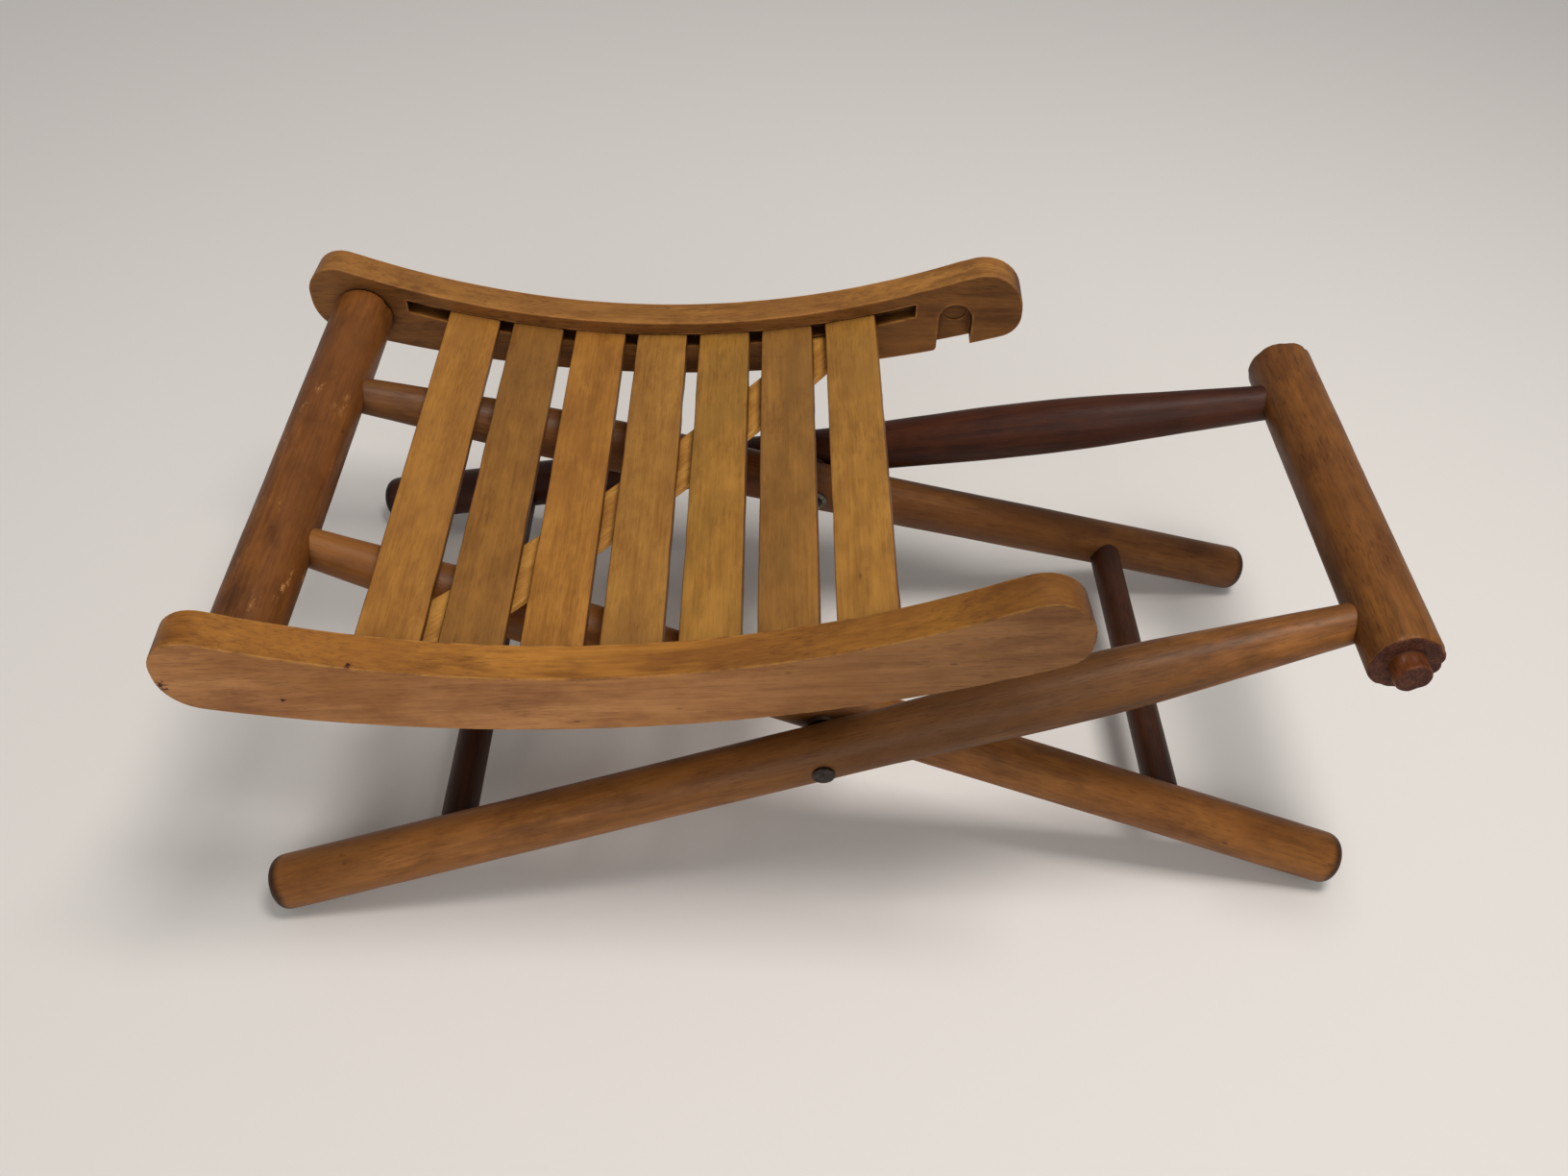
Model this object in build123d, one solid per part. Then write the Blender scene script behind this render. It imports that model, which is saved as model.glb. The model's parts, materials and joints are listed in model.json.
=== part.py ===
from build123d import *

import os
from math import asin, atan2, cos, degrees, hypot, sin, sqrt

# Folding slatted stool, part folded and standing on its four feet.
# Millimetres. +Z is up, +X points to the catch bar, +Y to the rear side.
# The origin is on the floor, under the middle of the whole stool.

# Leg pairs. A reach is measured along the leg in side view, from the crossing
# where the two pairs are riveted. A half is half the distance between a pair.
crossing_height = 87.7
inner_foot_reach = 273.4
inner_bar_reach = 252.2
inner_foot_half = 104.0
inner_bar_half = 52.9
outer_foot_reach = 263.5
outer_bar_reach = 253.3
outer_foot_half = 135.5
outer_bar_half = 76.5
leg_radius = 12.9
leg_tip_radius = 8.2
leg_taper_length = 112.0
leg_belly_length = 48.0
leg_swell_past_crossing = 28.0
leg_shoulder_radius = 600.0
inner_belly_radius = 13.3
outer_belly_radius = 14.5
foot_round = 4.0
tip_round = 0.8
tip_past_bar_axis = 1.0

# Cross pieces.
pivot_bar_radius = 15.1
pivot_tenon_radius = 8.0
pivot_tenon_depth = 9.0
catch_bar_radius = 16.3
catch_bar_half = 105.0
catch_pin_radius = 8.0
catch_pin_length = 9.2
bar_round = 1.5
stretcher_radius = 8.25
stretcher_tenon_radius = 5.5
stretcher_tenon_depth = 9.0
stretcher_scribe = 2.5
inner_stretcher_reach = 180.5
outer_stretcher_reach = 176.2

# Rivets through the crossings.
rivet_radius = 2.5
rivet_head_radius = 5.2
rivet_head_height = 1.4
rivet_dome_radius = 3.6
rivet_dome_height = 1.3
burr_radius = 5.8
burr_height = 1.2
spacer_radius = 7.0
spot_face = 12.6
spot_margin = 0.5

# Running fits and the space left between parts that move past each other.
running_clearance = 0.06
moving_gap = 0.35

# Seat rails. Along the rail u runs from the pivot bar to the catch end and v
# is up, square to it. Both long edges are arcs that dip in the middle.
seat_rise = 0.057
rail_start = -26.6
rail_length = 370.0
rail_thickness = 18.2
rail_dip_at = 148.3
top_dip = -2.6
top_arc = 446.9
bottom_dip = -34.2
bottom_arc = 612.5
inside_half_at_pivot = 119.9
rail_converge = 0.0445
nose_top_round = 15.0
nose_bottom_round = 20.0
hook_top_round = 20.0
hook_bottom_round = 13.0
hook_centre_u = 309.6
hook_centre_v = 4.8
hook_radius = 8.7
hook_mouth_round = 3.0
hook_depth = 9.0
hook_mark_radius = 6.4
hook_mark_depth = 1.0

# Slats, the groove that holds them and the diagonal batten below them.
slat_count = 7
first_slat_u = 57.9
slat_pitch = 32.9
slat_width = 26.4
slat_thickness = 6.4
slat_drop = 7.1
slat_in_groove = 6.6
groove_start_u = 23.6
groove_end_u = 288.8
groove_depth = 8.8
groove_play = 0.3
batten_width = 26.0
batten_thickness = 3.4
batten_drop = 0.3
batten_front_u = 56.0
batten_rear_u = 250.0
batten_end_gap = 1.2
tack_radius = 0.8
tack_head_radius = 2.2
tack_head_height = 0.7
tack_bite = 3.6
tack_end_margin = 5.0

overcut = 1.0


def leg_geometry(foot_reach, bar_reach, foot_half, bar_half):
    """Splay and lean of a leg pair that stands on its rounded foot ends."""
    splay = (foot_half - bar_half) / (foot_reach + bar_reach)
    stretch = sqrt(1 + splay**2)
    along = foot_reach * stretch - foot_round
    across = leg_radius - foot_round
    drop = asin((crossing_height - foot_round) / hypot(along, across)) - atan2(across, along)
    return splay, asin(sin(drop) * stretch)


inner_splay, inner_lean = leg_geometry(
    inner_foot_reach, inner_bar_reach, inner_foot_half, inner_bar_half
)
outer_splay, outer_lean = leg_geometry(
    outer_foot_reach, outer_bar_reach, outer_foot_half, outer_bar_half
)
inner_half_at_crossing = inner_bar_half + inner_splay * inner_bar_reach
outer_half_at_crossing = outer_bar_half + outer_splay * outer_bar_reach

# Points in the side view, measured from a spot on the floor under the crossing.
pivot_x = -inner_bar_reach * cos(inner_lean)
pivot_z = crossing_height + inner_bar_reach * sin(inner_lean)
catch_x = outer_bar_reach * cos(outer_lean)
catch_z = crossing_height + outer_bar_reach * sin(outer_lean)


def inner_point(reach):
    """Rear inner leg axis at a reach from the crossing, positive to the foot."""
    x = reach * cos(inner_lean)
    z = crossing_height - reach * sin(inner_lean)
    return Vector(x, inner_half_at_crossing + inner_splay * reach, z)


def outer_point(reach):
    """Rear outer leg axis at a reach from the crossing, positive to the foot."""
    x = -reach * cos(outer_lean)
    z = crossing_height - reach * sin(outer_lean)
    return Vector(x, outer_half_at_crossing + outer_splay * reach, z)


def turned(points, radii):
    """Solid of revolution about Z from (radius, height) corners and their rounds."""
    outline = FilletPolyline(*[(r, 0, z) for r, z in points], radius=radii)
    axis_line = Line(outline @ 1, outline @ 0)
    return revolve(make_face([*outline.edges(), axis_line.edge()]), axis=Axis.Z)


def rod(radius, start_y, end_y, x=0.0, z=0.0):
    """Plain round bar along Y."""
    length = end_y - start_y
    return Pos(x, (start_y + end_y) / 2, z) * Rot(90, 0, 0) * Cylinder(radius, length)


def front_of(rear_part):
    """The front copy of a rear part."""
    return mirror(rear_part, about=Plane.XZ)


def tapered_leg(foot, tip, crossing, belly_radius):
    """Round leg: even up to the crossing, then a swell and a taper to its tip."""
    length = (tip - foot).length
    shoulder = length - leg_taper_length
    corners = [
        (0, 0),
        (leg_radius, 0),
        (leg_radius, (crossing - foot).length + leg_swell_past_crossing),
        (belly_radius, shoulder - leg_belly_length),
        (belly_radius, shoulder),
        (leg_tip_radius, length),
        (0, length),
    ]
    soft = leg_shoulder_radius
    leg = turned(corners, [foot_round, soft, soft, soft, tip_round])
    return Plane(origin=foot, z_dir=tip - foot) * leg


def stretcher(reach_point):
    """Dowel between a pair of legs, with a thinner tenon into each one."""
    half = reach_point.Y - leg_radius + stretcher_scribe
    x, z = reach_point.X, reach_point.Z
    body = rod(stretcher_radius, -half, half, x, z)
    reach = reach_point.Y - leg_radius + stretcher_tenon_depth
    return body + rod(stretcher_tenon_radius, -reach, reach, x, z)


def spot_cut(radius, from_y, to_y):
    """Flat round seat for a washer or head, square to the rivet."""
    return rod(radius + spot_margin, from_y, to_y, 0, crossing_height)


def arc_height(u, dip, radius):
    """Height v of an arc that is lowest at rail_dip_at."""
    return dip + radius - sqrt(radius**2 - (u - rail_dip_at) ** 2)


def arc_band(start_u, end_u, top, bottom):
    """Face in the rail's side view between two arcs, each (dip, radius)."""
    middle_u = (start_u + end_u) / 2

    def on(u, arc):
        return (u, 0, arc_height(u, *arc))

    over = ThreePointArc(on(start_u, top), on(middle_u, top), on(end_u, top))
    under = ThreePointArc(on(start_u, bottom), on(middle_u, bottom), on(end_u, bottom))
    left = Line(over @ 0, under @ 0)
    right = Line(over @ 1, under @ 1)
    return make_face([over.edge(), right.edge(), under.edge(), left.edge()])


def below_top(drop):
    """Arc that runs at a constant drop below the rail's top edge."""
    return top_dip - drop, top_arc + drop


def inside_half(u):
    """Half the space between the rails at u."""
    return inside_half_at_pivot - rail_converge * u


def thicken(face, start_y, end_y):
    """Solid from a face in the XZ plane, between two values of Y."""
    return Pos(0, end_y, 0) * extrude(face, end_y - start_y, dir=(0, -1, 0))


def rear_rail():
    """Side board with its round ends, slat groove, pivot bore and hook notch."""
    end_u = rail_start + rail_length
    face = arc_band(rail_start, end_u, (top_dip, top_arc), (bottom_dip, bottom_arc))
    board = thicken(face, 0, rail_thickness)
    upright = board.edges().filter_by(Axis.Y).sort_by(Axis.X)
    nose_low, nose_high = upright[0:2].sort_by(Axis.Z)
    hook_low, hook_high = upright[2:4].sort_by(Axis.Z)
    board = fillet(nose_low, nose_bottom_round)
    for edge, size in (
        (nose_high, nose_top_round),
        (hook_low, hook_bottom_round),
        (hook_high, hook_top_round),
    ):
        match = board.edges().filter_by(Axis.Y).sort_by_distance(edge.center())[0]
        board = fillet(match, size)

    groove = arc_band(
        groove_start_u,
        groove_end_u,
        below_top(slat_drop - groove_play),
        below_top(slat_drop + slat_thickness + 2 * groove_play),
    )
    board -= thicken(groove, -overcut, groove_depth)

    mouth_height = hook_centre_v - arc_height(hook_centre_u, bottom_dip, bottom_arc) + overcut
    mouth = Pos(hook_centre_u, (hook_depth - overcut) / 2, hook_centre_v - mouth_height / 2)
    board -= mouth * Box(2 * hook_radius, hook_depth + overcut, mouth_height)
    corner = Vector(hook_centre_u - hook_radius, hook_depth / 2, hook_centre_v - mouth_height)
    lip = board.edges().filter_by(Axis.Y).sort_by_distance(corner)[0]
    board = fillet(lip, hook_mouth_round)
    board -= rod(hook_radius, -overcut, hook_depth, hook_centre_u, hook_centre_v)
    mark_end = hook_depth + hook_mark_depth
    board -= rod(hook_mark_radius, hook_depth - overcut, mark_end, hook_centre_u, hook_centre_v)

    board = Pos(0, inside_half_at_pivot, 0) * Rot(0, 0, degrees(-rail_converge)) * board
    bore_end = inside_half_at_pivot + pivot_tenon_depth + moving_gap
    bore_start = inside_half_at_pivot - 5 * overcut
    return board - rod(pivot_tenon_radius + running_clearance, bore_start, bore_end)


def slat(u):
    """Flat slat laid across the rails, square to the dip of the seat."""
    swing = top_arc + slat_drop + slat_thickness / 2
    lean = asin((u - rail_dip_at) / swing)
    v = top_dip + top_arc - swing * cos(lean)
    half = inside_half(u) + slat_in_groove
    return Pos(u, 0, v) * Rot(0, -degrees(lean), 0) * Box(slat_width, 2 * half, slat_thickness)


def batten():
    """Thin strip bent to the seat's dip, corner to corner under the slats."""
    top_drop = slat_drop + slat_thickness + batten_drop
    band = arc_band(
        rail_start,
        rail_start + rail_length,
        below_top(top_drop),
        below_top(top_drop + batten_thickness),
    )
    front_y = -inside_half(batten_front_u) + batten_end_gap
    rear_y = inside_half(batten_rear_u) - batten_end_gap
    run, rise = batten_rear_u - batten_front_u, rear_y - front_y
    middle = Pos((batten_front_u + batten_rear_u) / 2, (front_y + rear_y) / 2, 0)
    turn = Rot(0, 0, degrees(atan2(rise, run)))
    strip = middle * turn * Box(2 * hypot(run, rise), batten_width, 6 * rail_thickness)
    return thicken(band, front_y, rear_y) & strip


def batten_line(u):
    """Y of the batten's centre line at u."""
    front_y = -inside_half(batten_front_u) + batten_end_gap
    rear_y = inside_half(batten_rear_u) - batten_end_gap
    return front_y + (rear_y - front_y) * (u - batten_front_u) / (batten_rear_u - batten_front_u)


def tack(slat_u):
    """Flat-headed tack from below, through the batten into a slat."""
    u = max(slat_u, batten_front_u + tack_end_margin)
    u = min(u, batten_rear_u - tack_end_margin)
    swing = top_arc + slat_drop + slat_thickness + batten_drop + batten_thickness
    lean = asin((u - rail_dip_at) / swing)
    v = top_dip + top_arc - swing * cos(lean)
    shank_length = batten_thickness + batten_drop + tack_bite
    shank = Pos(0, 0, shank_length / 2) * Cylinder(tack_radius, shank_length)
    head = Pos(0, 0, -tack_head_height / 2) * Cylinder(tack_head_radius, tack_head_height)
    return Pos(u, batten_line(u), v) * Rot(0, -degrees(lean), 0) * (shank + head)


# Inner frame: pivot bar, two legs and a stretcher.
inner_leg_rear = tapered_leg(
    inner_point(inner_foot_reach),
    inner_point(tip_past_bar_axis - inner_bar_reach),
    inner_point(0),
    inner_belly_radius,
)
inner_stretcher = stretcher(inner_point(inner_stretcher_reach))
pivot_bar_half = inside_half_at_pivot - rail_converge * pivot_bar_radius - moving_gap
pivot_bar = turned(
    [
        (0, -pivot_bar_half),
        (pivot_bar_radius, -pivot_bar_half),
        (pivot_bar_radius, pivot_bar_half),
        (0, pivot_bar_half),
    ],
    bar_round,
)
pivot_bar = Pos(pivot_x, 0, pivot_z) * Rot(90, 0, 0) * pivot_bar
tenon_reach = inside_half_at_pivot + pivot_tenon_depth
pivot_bar += rod(pivot_tenon_radius, -tenon_reach, tenon_reach, pivot_x, pivot_z)

# Outer frame: catch bar with its pins, two legs and a stretcher.
outer_leg_rear = tapered_leg(
    outer_point(outer_foot_reach),
    outer_point(tip_past_bar_axis - outer_bar_reach),
    outer_point(0),
    outer_belly_radius,
)
outer_stretcher = stretcher(outer_point(outer_stretcher_reach))
catch_bar = turned(
    [
        (0, -catch_bar_half),
        (catch_bar_radius, -catch_bar_half),
        (catch_bar_radius, catch_bar_half),
        (0, catch_bar_half),
    ],
    bar_round,
)
catch_bar = Pos(catch_x, 0, catch_z) * Rot(90, 0, 0) * catch_bar
pin_reach = catch_bar_half + catch_pin_length
catch_bar += rod(catch_pin_radius, -pin_reach, pin_reach, catch_x, catch_z)

# Rivets, with a burr washer inside the inner leg and a spacer between the legs.
inner_face_out = inner_half_at_crossing + spot_face
inner_face_in = inner_half_at_crossing - spot_face
outer_face_out = outer_half_at_crossing + spot_face
outer_face_in = outer_half_at_crossing - spot_face
head_start = outer_face_out + moving_gap
burr_end = inner_face_in - burr_height
rivet_rear = rod(rivet_radius, burr_end - overcut, head_start + overcut, 0, crossing_height)
rivet_rear += rod(
    rivet_head_radius, head_start, head_start + rivet_head_height, 0, crossing_height
)
rivet_rear += rod(rivet_dome_radius, burr_end - rivet_dome_height, burr_end, 0, crossing_height)
burr_washer_rear = rod(burr_radius, burr_end, inner_face_in, 0, crossing_height) - rivet_rear
spacer_end = outer_face_in - moving_gap
spacer_washer_rear = rod(spacer_radius, inner_face_out, spacer_end, 0, crossing_height)
spacer_washer_rear -= rivet_rear

# Joinery: every socket is cut by the piece that sits in it.
inner_leg_rear -= inner_stretcher
inner_leg_rear -= spot_cut(burr_radius, inner_face_in - leg_radius, inner_face_in)
inner_leg_rear -= spot_cut(spacer_radius, inner_face_out, inner_face_out + leg_radius)
inner_leg_rear -= rivet_rear
outer_leg_rear -= outer_stretcher
outer_leg_rear -= spot_cut(spacer_radius, outer_face_in - leg_radius, outer_face_in)
outer_leg_rear -= spot_cut(rivet_head_radius, outer_face_out, outer_face_out + leg_radius)
hinge_radius = rivet_radius + running_clearance
outer_leg_rear -= rod(hinge_radius, outer_face_in, outer_face_out, 0, crossing_height)
pivot_bar -= inner_leg_rear + front_of(inner_leg_rear)
catch_bar -= outer_leg_rear + front_of(outer_leg_rear)

# Seat, made level about the pivot axis and then tilted to its rest position.
tacks = [tack(first_slat_u + slat_pitch * i) for i in range(slat_count)]
batten_tacks = Part(children=tacks)
seat = {"side_rail_rear": rear_rail(), "batten_tacks": batten_tacks}
seat["side_rail_front"] = front_of(seat["side_rail_rear"])
seat["diagonal_batten"] = batten()
for each_tack in tacks:
    seat["diagonal_batten"] -= each_tack
for number in range(slat_count):
    seat[f"slat_{number + 1}"] = slat(first_slat_u + slat_pitch * number) - tacks[number]

nodes = {
    "pivot_bar": pivot_bar,
    "inner_leg_rear": inner_leg_rear,
    "inner_leg_front": front_of(inner_leg_rear),
    "inner_stretcher": inner_stretcher,
    "catch_bar": catch_bar,
    "outer_leg_rear": outer_leg_rear,
    "outer_leg_front": front_of(outer_leg_rear),
    "outer_stretcher": outer_stretcher,
    "rivet_rear": rivet_rear,
    "rivet_front": front_of(rivet_rear),
    "burr_washer_rear": burr_washer_rear,
    "burr_washer_front": front_of(burr_washer_rear),
    "spacer_washer_rear": spacer_washer_rear,
    "spacer_washer_front": front_of(spacer_washer_rear),
}
seat_place = Pos(pivot_x, 0, pivot_z) * Rot(0, -degrees(seat_rise), 0)
for name, part in seat.items():
    nodes[name] = seat_place * part

# The whole stool moves along X so that the origin is under its middle.
left = min(part.bounding_box().min.X for part in nodes.values())
right = max(part.bounding_box().max.X for part in nodes.values())
centre = Pos(-(left + right) / 2, 0, 0)

os.makedirs("parts", exist_ok=True)
for name, part in nodes.items():
    export_step(centre * part, f"parts/{name}.step")
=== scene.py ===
import json
from math import asin, atan2, cos, pi, radians, sin, sqrt, tan

import bmesh
import bpy
from mathutils import Matrix, Vector, noise


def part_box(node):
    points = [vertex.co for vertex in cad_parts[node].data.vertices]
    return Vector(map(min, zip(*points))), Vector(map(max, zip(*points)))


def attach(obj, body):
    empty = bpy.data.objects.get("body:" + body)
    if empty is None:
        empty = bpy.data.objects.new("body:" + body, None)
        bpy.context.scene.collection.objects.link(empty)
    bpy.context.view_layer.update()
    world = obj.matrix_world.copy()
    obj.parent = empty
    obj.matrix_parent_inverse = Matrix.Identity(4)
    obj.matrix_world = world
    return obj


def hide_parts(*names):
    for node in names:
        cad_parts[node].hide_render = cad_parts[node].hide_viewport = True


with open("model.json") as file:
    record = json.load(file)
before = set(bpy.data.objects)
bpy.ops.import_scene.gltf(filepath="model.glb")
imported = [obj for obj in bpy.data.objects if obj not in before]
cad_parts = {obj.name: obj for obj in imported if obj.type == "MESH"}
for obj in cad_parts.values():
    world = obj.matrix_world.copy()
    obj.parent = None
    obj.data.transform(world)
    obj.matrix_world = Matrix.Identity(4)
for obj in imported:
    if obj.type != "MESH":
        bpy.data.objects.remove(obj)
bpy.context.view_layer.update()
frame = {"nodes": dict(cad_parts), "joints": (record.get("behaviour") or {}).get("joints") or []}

# Folding slatted stool. Metres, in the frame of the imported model: +X to the
# catch bar, +Y to the rear side, +Z up. Every wooden piece is built with its
# grain along its own X axis and is then put in its place.

MM = 0.001
hinges = {joint["name"]: joint for joint in frame["joints"]}
crossing = Vector(hinges["leg_scissor"]["pos_m"])
pivot = Vector(hinges["seat_pivot"]["pos_m"])

# Legs and bars. A reach runs along the leg in side view from the crossing.
inner_foot_reach, inner_bar_reach = 273.4 * MM, 252.2 * MM
inner_foot_half, inner_bar_half = 104.0 * MM, 52.9 * MM
outer_foot_reach, outer_bar_reach = 263.5 * MM, 253.3 * MM
outer_foot_half, outer_bar_half = 135.5 * MM, 76.5 * MM
leg_radius = 12.9 * MM
leg_tip_radius = 8.2 * MM
leg_taper_length = 112 * MM
leg_belly_length = 48 * MM
leg_swell_past_crossing = 28 * MM
inner_belly_radius = 13.3 * MM
outer_belly_radius = 14.5 * MM
foot_round = 6.5 * MM
pivot_bar_radius = 15.1 * MM
catch_bar_radius = 16.3 * MM
catch_bar_half = 105 * MM
pin_radius = 8 * MM
pin_round = 1.6 * MM
pivot_bore_depth = 9.4 * MM
pivot_bar_gap = 1.1 * MM
bar_round = 1.6 * MM
stretcher_radius = 8.25 * MM
scribe = 2.5 * MM

# Seat. Along a rail u runs from the pivot to the catch end and v is up.
seat_rise = 0.057
rail_start, rail_length, rail_thickness = -26.6 * MM, 370 * MM, 18.2 * MM
rail_dip_at = 148.3 * MM
top_dip, top_arc = -2.6 * MM, 446.9 * MM
bottom_dip, bottom_arc = -34.2 * MM, 612.5 * MM
top_start_round, top_end_round = 15 * MM, 20 * MM
bottom_start_round, bottom_end_round = 20 * MM, 13 * MM
rail_edge = 0.4 * MM
inside_half_at_pivot = 119.9 * MM
rail_converge = 0.0445
groove_start_u, groove_end_u, groove_depth = 23.6 * MM, 288.8 * MM, 8.8 * MM
groove_play = 0.3 * MM
hook_u, hook_v, hook_radius, hook_depth = 309.6 * MM, 4.8 * MM, 8.7 * MM, 9 * MM
hook_mark_radius, hook_mark_depth = 6.4 * MM, 1 * MM
hook_lip = 3 * MM
first_slat_u, slat_pitch = 57.9 * MM, 32.9 * MM
slat_width, slat_thickness, slat_drop = 26.4 * MM, 6.4 * MM, 7.1 * MM
slat_in_groove = 6.5 * MM
batten_front_u, batten_rear_u, batten_end_gap = 56 * MM, 250 * MM, 1.2 * MM
batten_width, batten_thickness, batten_drop = 26 * MM, 3.4 * MM, 0.3 * MM


# ---------------------------------------------------------------- helpers


def spread(start, end, count):
    """Evenly spaced values, both ends included."""
    return [start + (end - start) * i / (count - 1) for i in range(count)]


def ripple(point, seed, scale, size):
    """Smooth repeatable noise, about size at most."""
    return noise.noise(point * scale + Vector((seed, 2 * seed, -seed))) * size


def along(start, end):
    """Matrix with its origin at start and its X axis towards end."""
    x_axis = (end - start).normalized()
    y_axis = Vector((0, 0, 1)).cross(x_axis).normalized()
    matrix = Matrix((x_axis, y_axis, x_axis.cross(y_axis))).transposed().to_4x4()
    matrix.translation = start
    return matrix


def across(x, z, y=0.0, side=1):
    """Matrix with its X axis along world Y, outwards on the given side."""
    return along(Vector((x, y, z)), Vector((x, y + side, z)))


def node_middle(node):
    """Middle of a CAD node's box."""
    low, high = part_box(node)
    return (low + high) / 2


def place_piece(name, bm, matrix, body, material):
    """Puts a finished mesh in place of the CAD node with the same name."""
    bmesh.ops.recalc_face_normals(bm, faces=bm.faces)
    mesh = bpy.data.meshes.new(name)
    bm.to_mesh(mesh)
    bm.free()
    mesh.shade_smooth()
    mesh.materials.append(material)
    piece = bpy.data.objects.new(name, mesh)
    bpy.context.scene.collection.objects.link(piece)
    piece.matrix_world = matrix
    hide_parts(name)
    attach(piece, body)
    return piece


def loft(bm, rings):
    """Joins closed rings of equal length and closes both ends with a fan."""
    rows = [[bm.verts.new(point) for point in ring] for ring in rings]
    count = len(rows[0])
    for row, following in zip(rows, rows[1:]):
        for i in range(count):
            j = (i + 1) % count
            bm.faces.new((row[i], row[j], following[j], following[i]))
    for row in (rows[0], rows[-1]):
        centre = bm.verts.new(sum((vert.co for vert in row), Vector()) / count)
        for i in range(count):
            bm.faces.new((row[i], row[(i + 1) % count], centre))


# ---------------------------------------------------------------- turned work


def rounded_profile(corners, step):
    """(along, radius) points of a turned outline of (along, radius, round) corners."""
    points = []
    for i, (s, r, size) in enumerate(corners):
        here = Vector((s, r))
        if size == 0:
            points.append(here)
            continue
        first = here + (Vector(corners[i - 1][:2]) - here).normalized() * size
        last = here + (Vector(corners[i + 1][:2]) - here).normalized() * size
        for t in spread(0, 1, 9):
            points.append(first.lerp(here, t).lerp(here.lerp(last, t), t))
    dense = [points[0]]
    for point in points[1:]:
        start = dense[-1]
        pieces = max(1, int((point - start).length / step))
        dense += [start.lerp(point, k / pieces) for k in range(1, pieces + 1)]
    return dense


def turned(corners, seed, wobble, segments=56, step=4 * MM, chips=0.0, chip_from=0.0):
    """Lathe-turned shape about X with the slight unevenness of old hand work.

    Chips bite into the surface further than chip_from from the middle.
    """
    bm = bmesh.new()
    rings = []
    for s, r in rounded_profile(corners, step):
        ring = []
        for i in range(segments):
            angle = 2 * pi * i / segments
            out = Vector((0, cos(angle), sin(angle)))
            spot = Vector((s, 0, 0)) + out * r
            swell = ripple(spot, seed, 17, wobble) + ripple(spot, seed, 80, wobble * 0.45)
            bite = min(0, ripple(spot, seed + 3, 190, chips)) if abs(s) > chip_from else 0
            ring.append(Vector((s, 0, 0)) + out * (r + (swell + bite) * min(1, r / (4 * MM))))
        rings.append(ring)
    loft(bm, rings)
    return bm


def leg_axis(bar, foot_reach, foot_half, bar_half, side):
    """Foot and tip of a leg whose side view runs from its bar through the crossing."""
    down = Vector((crossing.x - bar.x, 0, crossing.z - bar.z)).normalized()
    foot = Vector((crossing.x, side * foot_half, crossing.z)) + down * foot_reach
    return foot, Vector((bar.x, side * bar_half, bar.z))


def leg(name, body, foot, tip, crossing_at, belly_radius, seed, material):
    """Round leg: even up to the crossing, then a swell and a taper to its tip."""
    length = (tip - foot).length
    shoulder = length - leg_taper_length
    corners = [
        (0, 0.3 * MM, 0),
        (0, leg_radius, foot_round),
        (length * crossing_at + leg_swell_past_crossing, leg_radius, 9 * MM),
        (shoulder - leg_belly_length, belly_radius, 12 * MM),
        (shoulder, belly_radius, 22 * MM),
        (length, leg_tip_radius, 0.8 * MM),
        (length, 0.3 * MM, 0),
    ]
    bm = turned(corners, seed, 0.15 * MM)
    place_piece(name, bm, along(foot, tip), body, material)


def cross_bar(name, body, middle, half, radius, reach, seed, material):
    """Thick bar across the stool with a thinner turned pin at each end."""
    corners = [(-reach, 0.3 * MM, 0), (-reach, pin_radius, pin_round)]
    corners += [(-half, pin_radius, 0.3 * MM), (-half, radius, bar_round)]
    corners += [(-s, r, size) for s, r, size in reversed(corners)]
    bm = turned(corners, seed, 0.2 * MM, 96, 1.2 * MM, 1.9 * MM, half - 2 * MM)
    place_piece(name, bm, across(middle.x, middle.z), body, material)


def stretcher(name, body, half, seed, material):
    """Thin dowel between two legs, let a little way into each."""
    middle = node_middle(name)
    corners = [
        (-half, 0.3 * MM, 0),
        (-half, stretcher_radius, 0.5 * MM),
        (half, stretcher_radius, 0.5 * MM),
        (half, 0.3 * MM, 0),
    ]
    bm = turned(corners, seed, 0.13 * MM, 40)
    place_piece(name, bm, across(middle.x, middle.z), body, material)


# ---------------------------------------------------------------- seat


seat_place = Matrix.Translation(pivot) @ Matrix.Rotation(-seat_rise, 4, "Y")


def arc_height(u, dip, radius):
    """Height v of an arc that is lowest at rail_dip_at."""
    return dip + radius - sqrt(radius**2 - (u - rail_dip_at) ** 2)


def arc_points(start_u, end_u, drop, count):
    """Points at a constant drop below the rail's top edge."""
    dip, radius = top_dip - drop, top_arc + drop
    return [Vector((u, arc_height(u, dip, radius))) for u in spread(start_u, end_u, count)]


def inside_half(u):
    """Half the space between the rails at u."""
    return inside_half_at_pivot - rail_converge * u


def eased(before, corner, after, radius, steps=12):
    """Arc that rounds one corner of an outline."""
    back, ahead = (before - corner).normalized(), (after - corner).normalized()
    half = back.angle(ahead) / 2
    centre = corner + (back + ahead).normalized() * radius / sin(half)
    first = corner + back * radius / tan(half) - centre
    last = corner + ahead * radius / tan(half) - centre
    turn = first.angle_signed(last)
    return [centre + Matrix.Rotation(-turn * t, 2) @ first for t in spread(0, 1, steps)]


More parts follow.
